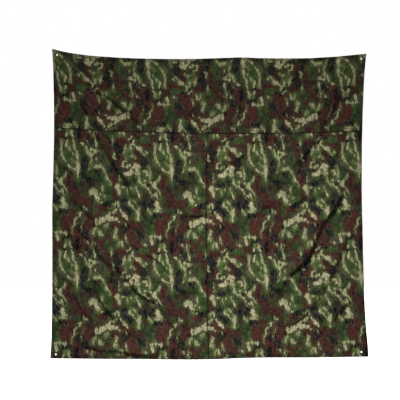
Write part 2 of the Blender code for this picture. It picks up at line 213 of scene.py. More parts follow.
PALE_STROKES = {
    0.35: [[(40.4, 4), (40.6, 9)]],
    0.4: [
        [(26, 72.5), (27.5, 75), (29, 77)], [(5, 67.5), (5, 70)],
        [(45, 27.6), (45.8, 31), (46.2, 33.6)], [(41, 15), (42.6, 18.6)], [(54, 37.5), (56, 40)],
        [(50, 61), (50.6, 63.6)],
    ],
    0.45: [[(22.5, 59), (21.6, 62.5), (20.2, 66)]],
    0.5: [
        [(9.5, 11), (11.5, 14), (14, 16.5)], [(11, 1), (8.8, 4.2)], [(12.5, 20.5), (15, 23), (16, 25)],
        [(26.3, 17), (26.4, 21), (25, 26)], [(22.2, 6), (23.2, 8.2)], [(28.5, 13), (32, 15.2)],
        [(27, 15), (28, 17.5)], [(29.4, 17.8), (29.8, 20.6)], [(31, 46), (31.4, 48.6)],
        [(36, 44), (35, 47), (33, 49)], [(8.6, 69), (9, 73)], [(60, 10.5), (64, 14)],
        [(54, 15.5), (56, 17.5)], [(47.5, 37), (51, 38.5), (51.6, 41)], [(2.5, 43.5), (4, 42.4)],
    ],
    0.6: [
        [(6.5, 20), (9, 22.5), (11, 25), (13.5, 26.5)], [(17, 29), (17.4, 32)], [(13, 26), (16, 28)],
        [(1, 24), (2, 27), (2.2, 30.5)], [(27, 1.5), (28, 4.5), (29.3, 8)],
        [(21.4, 52.3), (23.5, 54.6)], [(48.4, 14.2), (50, 13.5)], [(51.4, 4.6), (53.6, 3.4)],
        [(62, 33.2), (65, 33)], [(45.5, 40), (46, 43)], [(57.5, 37), (58.6, 41), (60, 45)],
        [(55.5, 46), (57.5, 49), (60, 51.5)], [(59.3, 55), (59.4, 59)],
        [(5, 52.6), (8, 53.2), (10.6, 54)], [(2.5, 33), (3.2, 34.6)], [(2, 51), (1.6, 53), (3, 55)],
        [(63.5, 35.4), (66, 38)], [(24, 0.5), (25, 1.6)], [(63, 0), (64, 1)],
    ],
    0.7: [
        [(8.4, 8), (9.5, 11)], [(33.6, 37.5), (34, 41), (33, 43)],
        [(21, 54.2), (18.6, 57.5), (16.5, 60.5), (15, 64), (13.6, 67), (13.8, 70.5)],
        [(43, 59.4), (46, 61)], [(37, 60), (37.5, 65.4)], [(44, 66), (43, 69), (43.8, 72)],
        [(3.4, 72), (3.8, 75)], [(49.6, 16.5), (50.6, 19.5), (48.6, 21.6), (48, 24)],
        [(48, 24), (51, 23.6), (53, 21.8)], [(59, 30.5), (60, 34), (62.6, 35.6)],
        [(52.5, 46.5), (54, 49.5), (56.6, 52)], [(56, 52.5), (58.5, 55)],
        [(9.4, 29.6), (7.6, 32), (5.6, 34)], [(1.6, 38), (2, 41)],
    ],
    0.8: [
        [(11, 0.5), (13, 4), (14.2, 9), (15.2, 13), (16.8, 17), (17.4, 22)],
        [(28.3, 9.3), (29.6, 10.5)], [(32, 23), (35, 27), (36.5, 30), (37.8, 33)],
        [(30.4, 60), (31, 63)], [(46.5, 53), (47.6, 55.4), (49.6, 56.6), (50.6, 58.6)],
        [(27.5, 71), (28.6, 67.8), (30.6, 66.2), (32.6, 67), (33.6, 70.2)],
        [(57, 10), (60, 12), (62, 13.5), (62.8, 15.6)], [(5, 36), (8, 38.5), (10, 42.5)],
        [(6.6, 41), (7.4, 45)], [(44.6, 0), (45.2, 2.4)], [(47.4, 0), (48.6, 2)],
    ],
    0.9: [
        [(20.5, 10), (22.5, 12.5), (24.5, 15), (26.3, 17)], [(25.9, 41.2), (26.2, 43.4)],
        [(40.2, 53.6), (39, 56.4)], [(50, 69.4), (50, 72), (51.8, 75)], [(49.6, 10.2), (50.4, 11.6)],
        [(63, 26), (64.4, 28)],
    ],
    1.0: [
        [(37.9, 33), (39.4, 36)], [(43, 49), (45.4, 48.6), (45.4, 50.2)], [(43, 52.3), (42.8, 55.2)],
        [(34, 60), (32.4, 62.4)], [(54.6, 6.4), (54, 9), (54, 11.6)],
    ],
    1.1: [[(38, 59), (44, 59.6)]],
    1.2: [
        [(5.6, 9.5), (4.8, 13), (5.6, 17), (6.2, 20.5)], [(2, 71), (5, 70.4), (8.5, 70.8)],
        [(44.6, 37), (45.3, 40)], [(59.4, 51.4), (59.4, 55)],
    ],
    1.3: [
        [(16.6, 23.5), (17.4, 26), (17, 29.5)], [(19.5, 9), (20.5, 9.5)],
        [(7, 48), (8.6, 51.5), (8.2, 53)],
    ],
    1.5: [[(26.3, 13), (28.6, 14.2)], [(28.3, 41), (29.8, 43.6), (30.8, 46)]],
    1.6: [[(54.6, 24.2), (56.6, 22.4), (58.4, 24)], [(58.2, 25), (58.6, 28)]],
    1.8: [[(38, 58), (35, 59.5)]],
    1.9: [[(51, 28), (54, 27.6)]],
    2.0: [[(30, 24.2), (31.4, 24.2)]],
}
GREEN_STROKES = {
    1.6: [[(33, 44), (33, 47)], [(20, 41), (21, 43)], [(9, 46), (10, 48)], [(64, 15), (64, 18)]],
    1.8: [[(35.5, 64.6), (37, 65)], [(8, 1), (9.5, 1.5)], [(15, 29), (20, 30)]],
    2.0: [[(53, 17), (52, 12)], [(15, 33), (17, 35)], [(29, 50), (29, 54)], [(40, 69), (41, 72)]],
    2.2: [
        [(17, 52), (18.4, 53)], [(57, 33), (61, 39)], [(30.6, 69.4), (33, 72)],
        [(53, 31), (57, 31), (62, 30)], [(57, 48), (56, 57), (58, 60)], [(36, 19), (38, 27)],
    ],
    2.4: [
        [(21, 15.5), (23, 18)], [(26.4, 30), (27, 25)], [(60, 4.6), (63, 6)],
        [(3, 57), (4, 61), (2, 66)], [(62, 58), (65, 62)], [(43, 73), (45, 76)],
    ],
    2.6: [[(4.5, 26), (5, 30)], [(11, 10), (12, 14)], [(38, 1), (39, 3)]],
    3.0: [[(50, 36), (53, 41), (52, 46)]],
    3.4: [[(31, 32), (34, 34), (37, 37), (38.5, 42), (37.5, 48)]],
    3.6: [[(11.5, 17.5), (12.5, 21)]],
}
BROWN_STROKES = {
    1.8: [[(63, 8), (64, 10)]],
    2.0: [[(47.6, 70), (47, 74)], [(40, 49), (39.6, 51.6)]],
    2.2: [
        [(37, 8), (40, 12), (39, 18)], [(41.8, 29), (42.2, 36), (42, 44)],
        [(44, 56.6), (47.6, 60), (44, 63.6)], [(32, 0), (34, 2)], [(52, 0.6), (60, 1)],
        [(8, 75), (10, 76)],
    ],
    2.4: [
        [(18.6, 4.6), (21, 3), (22.6, 3.6)], [(56, 12.5), (58, 16), (60.5, 19), (56, 20)],
        [(10, 31.5), (11, 36), (11.6, 41)], [(14, 57), (12, 61)], [(54, 70), (55, 73)],
    ],
    2.6: [[(5, 3), (5.6, 7)], [(44.6, 19), (46, 21)], [(32, 52.5), (28.6, 57)]],
    2.8: [[(45, 5), (46.6, 8), (49, 3)], [(9, 62), (10, 67)], [(53, 58), (54, 64), (60, 64)]],
    3.0: [[(16.6, 42), (18, 47), (24, 48.6)]],
    3.2: [[(16.4, 66), (17, 72), (18.4, 75)], [(29.6, 73), (35, 73), (38.6, 75.6)]],
    3.4: [[(25.4, 58), (24.4, 66)]],
}
DARK_STROKES = {
    0.6: [[(20, 52.6), (24, 57)]],
    0.7: [[(3.6, 35.6), (4.2, 31.6)], [(3.6, 35.6), (0.6, 34.4)]],
    0.8: [[(3.6, 35.6), (0, 37)], [(54, 21), (57, 26)]],
    0.9: [
        [(3.6, 35.6), (8.4, 41)], [(16, 64), (20, 69), (24, 74), (27, 77)],
        [(29, 64), (31.4, 64.6), (34, 67)], [(9, 5.6), (11.4, 5)],
    ],
    1.0: [[(24, 6), (27, 10)], [(3.6, 35.6), (4.4, 41)], [(57.6, 26), (55, 29.6)]],
    1.2: [[(45.6, 24.6), (49.6, 26)], [(46, 46), (51, 47.6)]],
    1.3: [[(55.6, 3), (58.6, 3)]],
    1.4: [
        [(24.4, 8.6), (25.6, 6), (26, 10)], [(5, 55.6), (8.4, 55.6)], [(12, 37), (15, 39)],
        [(36, 50), (41, 47.6)],
    ],
    1.5: [[(8, 73.4), (12, 72)]],
    1.6: [[(43, 15), (42, 21)], [(28.6, 28), (31, 30)], [(50, 63.6), (49, 67)], [(20, 31), (24, 33)]],
    1.7: [[(42, 25.6), (43, 29)]],
    1.8: [
        [(15.6, 4), (17.6, 0)], [(49.6, 34), (51.6, 36)], [(22.6, 67.6), (25.4, 71)],
        [(61, 46), (63, 50)],
    ],
    2.0: [[(22, 20.6), (22.4, 26)], [(1.4, 45), (2.6, 49)], [(60, 66), (61, 70)]],
    2.2: [[(49.6, 50), (53, 53)]],
    2.6: [[(62.6, 19.6), (64, 22)]],
    2.8: [[(42, 9.6), (45, 13)]],
}
PRINT_PARTS = {
    "pale": PALE_STROKES, "green": GREEN_STROKES, "brown": BROWN_STROKES, "dark": DARK_STROKES,
}
STROKE_REACH = 3.0  # centimetres from a stroke's rim at which its field stops changing
PRINT_WAVERS = [(0.8, 22, 26), (0.6, 52, 60)]  # how many centimetres strokes waver, and how often each way

# Colours of the print and the trimmings, as red, green and blue from 0 to 255 in full studio light
PALE_GREEN = (152, 155, 118)
PALE_TAN = (174, 159, 131)
DULL_PALE = (106, 112, 76)
LIGHT_GREEN = (84, 97, 56)
MID_GREEN = (64, 79, 46)
DEEP_GREEN = (45, 57, 38)
RED_BROWN = (84, 48, 44)
EARTH_BROWN = (66, 48, 38)
DARK_BROWN = (56, 38, 36)
SLATE = (50, 51, 50)
BLACK_GREEN = (20, 20, 19)
OLIVE_BROWN = (50, 44, 34)
GREY_OLIVE = (70, 68, 52)
UPPER_SHADE_TONE = 0.86  # painted shade: the upper panel's print is darkened, standing in for the shade on the upper part of the sheet
COATING = (88, 92, 74)
TAPE_COLOUR = (60, 64, 52)
THREAD_COLOUR = (50, 52, 38)
# Painted shade beside the seams, along the rim, on the hem's stitch line and over the hem strip
SEAM_SHADE, RIM_SHADE, STITCH_SHADE, HEM_SHADE = 0.75, 0.55, 0.30, 0.12  # how much each darkens the cloth
STUDIO_LIGHT = 1.45  # how much brighter the lights make the cloth than its own colour

# Colours as shader values
NICKEL, TARNISH = (0.28, 0.27, 0.245, 1), (0.17, 0.16, 0.14, 1)
FLOOR_TONES = [(0.56, 0.56, 0.55, 1), (0.60, 0.60, 0.59, 1)]
WEAVE = (1500, 120, 1)  # how often the threads' noise changes in a metre, across them and along them

# Camera
VIEW_WIDTH = 2.696  # what the picture spans at the sheet
VIEW_CENTRE = (-0.0617, 0.0, -0.9645)
LENS = 85.0
SENSOR = 36.0
FLOOR_DROP = 0.35
FLOOR_WIDTH = 18.0

# Light
KEY_POWER = 3.4
GLOW_POWER = 5500.0
GLOW_SPREAD = 18.5  # degrees
FILL_POWER = 13.0
BACK_KEY_POWER = 2.4
BACK_FILL_POWER = 190.0


# ---- numbers along curves ----

def stretch_of(places, at):
    """Which stretch between sorted places holds each of at, and how far along it lies, from 0 to 1."""
    k = np.clip(np.searchsorted(places, at) - 1, 0, len(places) - 2)
    return k, (at - places[k]) / (places[k + 1] - places[k])


def through(points, at):
    """The values at an array of places on the smooth curve through (place, value) points."""
    places, values = np.array(points, float).T
    slopes = np.empty_like(values)
    slopes[1:-1] = (values[2:] - values[:-2]) / (places[2:] - places[:-2])
    slopes[0] = (values[1] - values[0]) / (places[1] - places[0])
    slopes[-1] = (values[-1] - values[-2]) / (places[-1] - places[-2])
    k, f = stretch_of(places, at)
    span = places[k + 1] - places[k]
    from_start = (1 + 2 * f) * (1 - f) ** 2 * values[k] + f * (1 - f) ** 2 * span * slopes[k]
    from_end = f * f * (3 - 2 * f) * values[k + 1] + f * f * (f - 1) * span * slopes[k + 1]
    return from_start + from_end


def ease(value, low, high):
    """0 below low, 1 above high, smooth between."""
    f = np.clip((value - low) / (high - low), 0.0, 1.0)
    return f * f * (3 - 2 * f)


def bell(away, width):
    """1 where away is 0, falling off smoothly over the width."""
    return np.exp(-((away / width) ** 2))


def smooth_line(points, steps=6):
    """More places along the smooth curve through the given places."""
    marks = np.arange(len(points), dtype=float)
    at = np.linspace(0, len(points) - 1, (len(points) - 1) * steps + 1)
    columns = [through(list(zip(marks, column)), at) for column in zip(*points)]
    return np.stack(columns, axis=-1)


def from_line(x, y, line):
    """How far each (x, y) lies from a line of points, on which side, and how far along, from 0 to 1.

    The side is positive below a line that runs from left to right, where y points down.
    """
    steps = np.hypot(*np.diff(line, axis=0).T)
    starts = np.concatenate([[0.0], np.cumsum(steps)])
    nearest = np.full(x.shape, np.inf)
    side = np.zeros(x.shape)
    along = np.zeros(x.shape)
    for (x0, y0), (x1, y1), step, start in zip(line, line[1:], steps, starts):
        dx, dy = (x1 - x0) / step, (y1 - y0) / step
        run = np.clip((x - x0) * dx + (y - y0) * dy, 0, step)
        away_x, away_y = x - x0 - run * dx, y - y0 - run * dy
        away = np.hypot(away_x, away_y)
        closer = away < nearest
        nearest = np.where(closer, away, nearest)
        side = np.where(closer, away_y * dx - away_x * dy, side)
        along = np.where(closer, (start + run) / starts[-1], along)
    return nearest, np.sign(side), along


def smooth_noise(x, y, seed, columns=64, rows=64):
    """Smooth random values from -1 to 1, one hill or hollow to each unit of x and y.

    They repeat after so many columns and rows.
    """
    lattice = np.random.RandomState(seed).uniform(-1, 1, (rows, columns))
    left, top = np.floor(x).astype(int), np.floor(y).astype(int)
    fx, fy = ease(x - left, 0, 1), ease(y - top, 0, 1)

    def at(i, j):
        return lattice[(top + j) % rows, (left + i) % columns]

    upper = at(0, 0) * (1 - fx) + at(1, 0) * fx
    lower = at(0, 1) * (1 - fx) + at(1, 1) * fx
    return upper * (1 - fy) + lower * fy


# ---- the surface of the hanging sheet ----

def sag_at(across, down):
    """How far the cloth hangs below the straight grid between its corners."""
    seam = CROSS_SEAM / CLOTH_HEIGHT
    top_share = 1 - ease(down, 0, seam)
    bottom_share = ease(down, LOWER_SAG_AT, 1)
    middle = CROSS_SEAM_SAG + (LOWER_SAG - CROSS_SEAM_SAG) * ease(down, seam, LOWER_SAG_AT)
    middle = middle * 4 * across * (1 - across)
    hung = top_share * through(TOP_SAG, across) + bottom_share * through(BOTTOM_SAG, across)
    return hung + (1 - top_share - bottom_share) * middle


def to_side(u):
    """How far in from the nearer side edge."""
    return np.minimum(u, CLOTH_WIDTH - u)


def to_end(v):
    """How far in from the top or bottom edge, whichever is nearer."""
    return np.minimum(v, CLOTH_HEIGHT - v)


def to_rim(u, v):
    return np.minimum(to_side(u), to_end(v))


def past_centre(u, v):
    """How far to the right of the centre seam, or far away above its top end."""
    return np.where(v > CROSS_SEAM, u - CENTRE_SEAM, 1.0)


def looseness(u, v):
    """0 in the reinforced corners, which stay flat, and 1 away from them."""
    return ease(np.maximum(to_side(u), to_end(v)), FLAT_CORNER, FLAT_CORNER + CORNER_EASE)


def broad_depth(u, v):
    """How far the cloth lies behind the plane of its corners, without its folds."""
    across, down = u / CLOTH_WIDTH, v / CLOTH_HEIGHT
    swell = np.sin(pi * across) ** 2 * np.sin(pi * down) ** 2
    rim = (1 - 4 * across * (1 - across)) ** 3 * np.sin(pi * down) ** 2
    return SIDE_CURL * rim - BELLY * swell


def fold_depth(u, v):
    """The hanging folds: each has a long slope above, a short steep one below, and a hollow under that."""
    total = np.zeros(u.shape)
    drift = FOLD_DRIFT * smooth_noise(u / 0.11, v / 0.11, seed=3)
    for number, (height, width, places) in enumerate(FOLDS):
        away, side, along = from_line(u + drift, v - drift, smooth_line(places))
        below = away * side
        swell = ease(along, 0, 0.28) * (1 - ease(along, 0.72, 1))
        swell = swell * (0.85 + 0.35 * smooth_noise(along * 5, number + 0 * along, seed=5))
        ridge = bell(np.minimum(below, 0), FOLD_ABOVE)
        hollow = POCKET * bell(np.maximum(below - width, 0), FOLD_RETURN)
        drop = ease(below, 0, width)
        total -= height * swell * (ridge * (1 - drop) - hollow * drop)
    return total


def corner_wrinkles(u, v):
    """Small ridges that fan out from the pulled corners."""
    total = np.zeros(u.shape)
    for number, corner in enumerate(CORNERS):
        from_side = u if corner.endswith("left") else CLOTH_WIDTH - u
        from_end = v if corner.startswith("top") else CLOTH_HEIGHT - v
        reach = np.hypot(from_side, from_end)
        turn = np.arctan2(from_end, from_side) / (pi / 2)
        fan = smooth_noise(turn * 13, reach * 2.0 + 7 * number, seed=11 + number)
        total -= WRINKLE * fan * ease(reach, *WRINKLE_START) * (1 - ease(reach, *WRINKLE_END))
    return total


def crumples(u, v):
    """Fine creases all over, which run roughly with the folds."""
    lean = np.where(u < CLOTH_WIDTH / 2, 1.0, -1.0) * ease(np.abs(u - CLOTH_WIDTH / 2), 0.1, 0.7)
    x, y = u - 0.5 * lean * v, v + 0.5 * lean * u
    x = x + 0.02 * smooth_noise(u / 0.09, v / 0.09, seed=21)
    coarse = 1 - 2 * np.abs(smooth_noise(x / 0.060, y / 0.110, seed=22))
    fine = 1 - 2 * np.abs(smooth_noise(x / 0.024, y / 0.042, seed=23))
    hills = smooth_noise(u / 0.20, v / 0.20, seed=24)
    return -(CRUMPLE * coarse + FINE_CRUMPLE * fine + HILL * hills)


def packing_creases(u, v):
    """Faint straight creases where the tarp was folded for its bag, in eighths each way."""
    total = np.zeros(u.shape)
    for place, size, seed in ((u, CLOTH_WIDTH, 31), (v, CLOTH_HEIGHT, 37)):
        for k in range(1, 8):
            away = place - size * k / 8 - 0.003 * smooth_noise(u / 0.3, v / 0.3, seed=seed + k)
            total += (-1) ** k * CREASE * bell(away, CREASE_WIDTH)
    return total


def seam_puckers(u, v):
    """Short gathers on either side of the sewn seams and hems."""
    gathers_across = smooth_noise(u / GATHER, v / 0.25, seed=41)
    gathers_down = smooth_noise(u / 0.25, v / GATHER, seed=42)
    total = CROSS_PUCKER * gathers_across * bell(np.abs(v - CROSS_SEAM), 0.030)
    total += CENTRE_PUCKER * gathers_down * bell(np.abs(past_centre(u, v)), 0.026)
    total += HEM_PUCKER * gathers_down * bell(to_side(u) - GATHER, GATHER)
    total += HEM_PUCKER * gathers_across * bell(to_end(v) - GATHER, GATHER)
    return total


def make_relief():
    """The depth of the folded cloth on an even grid of places."""
    columns = np.linspace(0, CLOTH_WIDTH, round(CLOTH_WIDTH / RELIEF_STEP) + 1)
    rows = np.linspace(0, CLOTH_HEIGHT, round(CLOTH_HEIGHT / RELIEF_STEP) + 1)
    u, v = np.meshgrid(columns, rows)
    folded = fold_depth(u, v) + corner_wrinkles(u, v) + crumples(u, v)
    folded = folded + packing_creases(u, v) + seam_puckers(u, v)
    return looseness(u, v) * (broad_depth(u, v) + folded)


RELIEF = make_relief()


def relief_at(u, v):
    """The depth between the grid's places, along a smooth curve through the four nearest each way."""
    rows, columns = RELIEF.shape
    x = np.clip(u / CLOTH_WIDTH, 0, 1) * (columns - 1)
    y = np.clip(v / CLOTH_HEIGHT, 0, 1) * (rows - 1)
    left, top = np.floor(x).astype(int), np.floor(y).astype(int)

    def weights(f):
        return (
            (-f + 2 * f * f - f ** 3) / 2,
            (2 - 5 * f * f + 3 * f ** 3) / 2,
            (f + 4 * f * f - 3 * f ** 3) / 2,
            (f ** 3 - f * f) / 2,
        )

    total = np.zeros(np.broadcast(u, v).shape)
    for j, down in enumerate(weights(y - top)):
        for i, across in enumerate(weights(x - left)):
            row = np.clip(top + j - 1, 0, rows - 1)
            column = np.clip(left + i - 1, 0, columns - 1)
            total += down * across * RELIEF[row, column]
    return total


def seam_step(u, v):
    """The seams' laps: the cloth above or to the left of a seam stands proud, and drops back at it."""
    total = np.zeros(np.broadcast(u, v).shape)
    for past in (v - CROSS_SEAM, past_centre(u, v)):
        drop = ease(past, -LAP_DROP, LAP_DROP)
        near = bell(np.maximum(np.abs(past) - LAP_DROP, 0), LAP_EASE)
        total += LAP * (2 * drop - 1) * near
    return total


def hem_groove(u, v):
    """The hem's stitching pulls the cloth in."""
    return GROOVE * bell(to_rim(u, v) - HEM_STITCH_AT, GROOVE_WIDTH)


def sheet_point(u, v):
    """The middle of the face cloth at arrays of places, as points in space."""
    across, down = u / CLOTH_WIDTH, v / CLOTH_HEIGHT
    corners = [TOP_LEFT, TOP_RIGHT, BOTTOM_LEFT, BOTTOM_RIGHT]
    shares = [(1 - across) * (1 - down), across * (1 - down), (1 - across) * down, across * down]
    flat_x = sum(share * corner[0] for share, corner in zip(shares, corners))
    flat_z = sum(share * corner[1] for share, corner in zip(shares, corners))
    x = flat_x + (1 - across) * through(LEFT_PULL, down) - across * through(RIGHT_PULL, down)
    z = flat_z - sag_at(across, down)
    y = relief_at(u, v) + looseness(u, v) * (seam_step(u, v) + hem_groove(u, v))
    return np.stack([x, y, z], axis=-1)


def unit(vectors):
    return vectors / np.linalg.norm(vectors, axis=-1, keepdims=True)


def behind_sheet(u, v, depth):
    """Points a distance behind the face cloth, square to it."""
    u, v, depth = np.broadcast_arrays(u, v, depth)
    step = 0.001
    here = sheet_point(u, v)
    back = unit(np.cross(sheet_point(u + step, v) - here, sheet_point(u, v + step) - here))
    return here + back * depth[..., None], back


def hem_cover(away):
    """1 on a hem's turned strip and 0 past it."""
    return 1 - ease(away, HEM, HEM + 0.006)


def layers_behind(u, v):
    """How many layers of cloth lie behind the face cloth: turned hems, three deep where two cross."""
    side, end = hem_cover(to_side(u)), hem_cover(to_end(v))
    return side + end + side * end


def patch_cover(u, v):
    """1 on the corner patches and 0 past them."""
    return 1 - ease(np.maximum(to_side(u), to_end(v)), PATCH, PATCH + 0.001)


# ---- the camouflage print ----

def print_place(u, v, is_upper):
    """Where a place on the cloth lies in the print."""
    if is_upper:
        return UPPER_PRINT_TURN[0] - u, UPPER_PRINT_TURN[1] - v
    return u, v - CROSS_SEAM


def print_field(strokes, a, b):
    """How far inside the nearest stroke's rim each place of the print lies, in centimetres."""
    across, down = PRINT_ACROSS * 100, PRINT_DOWN * 100
    x, y = (a * 100) % across, (b * 100) % down
    for reach, columns, rows in PRINT_WAVERS:
        wave_x, wave_y = x * columns / across, y * rows / down
        waver = [reach * smooth_noise(wave_x, wave_y, seed, columns, rows) for seed in (columns, rows)]
        x, y = (x + waver[0]) % across, (y + waver[1]) % down
    field = np.full(x.shape, -STROKE_REACH)
    for half_width, places in ((key, places) for key, lines in strokes.items() for places in lines):
        line = np.array(places, float)
        low, high = line.min(0) - half_width - STROKE_REACH, line.max(0) + half_width + STROKE_REACH
        for shift in ((i * across, j * down) for i in (-1, 0, 1) for j in (-1, 0, 1)):
            if (low + shift > (across, down)).any() or (high + shift < 0).any():
                continue
            near = (x > low[0] + shift[0]) & (x < high[0] + shift[0])
            near &= (y > low[1] + shift[1]) & (y < high[1] + shift[1])
            away, _, _ = from_line(x[near], y[near], line + shift)
            field[near] = np.maximum(field[near], half_width - away)
    return field


def paint_print(mesh, a, b):
    """Gives a mesh its place in the print, and how far inside each part's strokes every point lies."""
    for name, strokes in PRINT_PARTS.items():
        field = mesh.attributes.new(name, "FLOAT", "POINT")
        field.data.foreach_set("value", print_field(strokes, a, b).astype(np.float32))
    layer = mesh.uv_layers.new(name="print")
    corners = np.empty(len(mesh.loops), np.int32)
    mesh.loops.foreach_get("vertex_index", corners)
    layer.data.foreach_set("uv", np.stack([a, b], axis=-1)[corners].astype(np.float32).ravel())


def paint_seam_shade(mesh, u, v):
    """Gives a panel painted shade: its colour darkens where the cloth is folded, gathered and sewn, beside
    the seams, along the rim, on the hem's stitch line and over the hem strip.
    """
    to_seam = np.minimum(np.abs(v - CROSS_SEAM), np.abs(past_centre(u, v)))
    rim = to_rim(u, v)
    dark = SEAM_SHADE * bell(to_seam, 0.0045)
    dark += HEM_SHADE * hem_cover(rim) + RIM_SHADE * bell(rim, 0.004)
    dark += STITCH_SHADE * bell(rim - HEM_STITCH_AT, GROOVE_WIDTH)
    painted_seam_shade = mesh.attributes.new("painted_seam_shade", "FLOAT", "POINT")
    painted_seam_shade.data.foreach_set("value", np.tile((1 - dark).ravel(), 2).astype(np.float32))


# ---- materials ----

def feed(tree, made, sockets):
    """Gives a node's inputs plain values, or other nodes' outputs."""
    for key, value in sockets.items():
        if isinstance(value, bpy.types.NodeSocket):
            tree.links.new(value, made.inputs[key])
        else:
            made.inputs[key].default_value = value


def node(tree, kind, sockets=None, **settings):
    made = tree.nodes.new("ShaderNode" + kind)
    for name, value in settings.items():
        setattr(made, name, value)
    feed(tree, made, sockets or {})
    return made


def maths(tree, operation, *values):
    return node(tree, "Math", dict(enumerate(values)), operation=operation).outputs[0]


def share(tree, value, part):
    """A part of a value."""
    return maths(tree, "MULTIPLY", value, part)


def spread(tree, value, reach, start):
    """A value from 0 to 1 turned into one from start to start + reach."""
    return maths(tree, "MULTIPLY_ADD", value, reach, start)


def toned(tree, colour, tone):
    """A colour times a tone, which darkens it below 1."""
    return node(tree, "VectorMath", {0: colour, "Scale": tone}, operation="SCALE").outputs[0]


def blended(tree, factor, first, second):
    """The first colour where factor is 0, the second where it is 1."""
    made = node(tree, "Mix", {0: factor, 6: first, 7: second}, data_type="RGBA")
    return made.outputs[2]


def stepped(tree, value, low, high):
    """0 below low, 1 above high, smooth between."""
    sockets = {"Value": value, "From Min": low, "From Max": high}
    return node(tree, "MapRange", sockets, interpolation_type="SMOOTHSTEP").outputs[0]


def cloud(tree, scale, detail, **sockets):
    """Noise in space, from 0 to 1."""
    return node(tree, "TexNoise", {"Scale": scale, "Detail": detail, **sockets}).outputs[0]


def bumps(tree, strength, distance, height):
    sockets = {"Strength": strength, "Distance": distance, "Height": height}
    return node(tree, "Bump", sockets).outputs[0]


def painted(tree, name):
    """A value that the mesh carries."""
    return node(tree, "Attribute", attribute_name=name).outputs["Fac"]


def studio(colour):
    """A colour that looks like this under the scene's lights, as a node value."""
    return (*(((c / 255) ** 2.2) / STUDIO_LIGHT for c in colour), 1)


def shaded(colour, tone):
    """A plain colour made lighter or darker, as a node value."""
    return studio([c * tone for c in colour])


def start_material(name):
    made = bpy.data.materials.new(name)
    made.use_nodes = True
    return made, made.node_tree, made.node_tree.nodes["Principled BSDF"]


def print_ring(tree, across_size=1.0, down_size=1.0):
    """The place in the print bent into two rings, so that noise read from it repeats as the print does.

    The sizes stretch that noise across and down the cloth.
    """
    place = node(tree, "UVMap", uv_map="print").outputs[0]
    split = node(tree, "SeparateXYZ", {0: place})
    parts = []
    for output, repeat, size in ((0, PRINT_ACROSS, across_size), (1, PRINT_DOWN, down_size)):
        angle = share(tree, split.outputs[output], 2 * pi / repeat)
        radius = repeat / (2 * pi) / size
        parts += [share(tree, maths(tree, way, angle), radius) for way in ("COSINE", "SINE")]
    vector = node(tree, "CombineXYZ", dict(enumerate(parts[:3]))).outputs[0]
    return vector, parts[3]


def ring_noise(tree, ring, scale, detail, offset, roughness):
    """Noise that repeats with the print, from 0 to 1, and as three such values.

    It changes about scale times in a metre. Each offset gives another noise.
    """
    vector, last = ring
    moved = node(tree, "VectorMath", {0: vector, 1: (offset, 0, 0)}, operation="ADD").outputs[0]
    sockets = {"Vector": moved, "W": last, "Scale": scale, "Detail": detail, "Roughness": roughness}
    made = node(tree, "TexNoise", sockets, noise_dimensions="4D")
    return made.outputs[0], node(tree, "SeparateColor", {0: made.outputs[1]}).outputs


def ragged_mask(tree, field, ragged, rag, softness, grow=0.0):
    """Where a part of the print covers the cloth: strokes with ragged edges, sizes in centimetres."""
    shifted = spread(tree, ragged, 2 * rag, grow - rag)
    return stepped(tree, maths(tree, "ADD", field, shifted), -softness, softness)


def strands(tree, ragged, half_width, strength):
    """Thin winding lines through noise, where it crosses its middle value."""
    away = maths(tree, "ABSOLUTE", maths(tree, "SUBTRACT", ragged, 0.5))
    outside = stepped(tree, away, half_width * 0.5, half_width * 1.5)
    return share(tree, maths(tree, "SUBTRACT", 1.0, outside), strength)


def layered(tree, colour, layers):
    """A colour under others, each given as where it covers and what it is."""
    for cover, paint in layers:
        colour = blended(tree, cover, colour, paint)
    return colour


